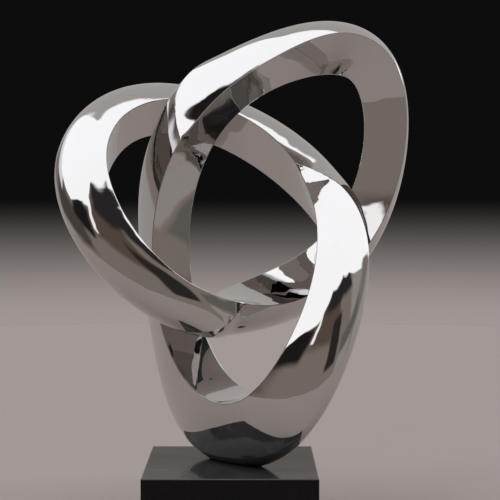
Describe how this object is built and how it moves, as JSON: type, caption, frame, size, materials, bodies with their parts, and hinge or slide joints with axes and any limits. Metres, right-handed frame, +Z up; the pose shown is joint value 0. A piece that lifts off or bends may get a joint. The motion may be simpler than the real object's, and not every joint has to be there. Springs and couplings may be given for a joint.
{
  "type": "abstract metal sculpture",
  "caption": "Abstract trefoil-knot sculpture: a thick mirror-polished metal strand with a flat inner face and running ridges, standing on a low square stone plinth.",
  "frame": {"origin": "centre of the plinth's underside, on the surface that the work stands on", "axes": "+Z up, +X to the viewer's right in the front view, -Y towards the viewer in the front view"},
  "size_m": [0.807, 0.6165, 1.1179],
  "materials": {
    "polished_steel": "mirror-polished stainless steel with faint hand-polishing waves",
    "polished_stone": "polished black stone, glossy top and sides, fine chamfered edges"
  },
  "bodies": {
    "root": {"knot": "polished_steel", "plinth": "polished_stone"}
  },
  "joints": []
}
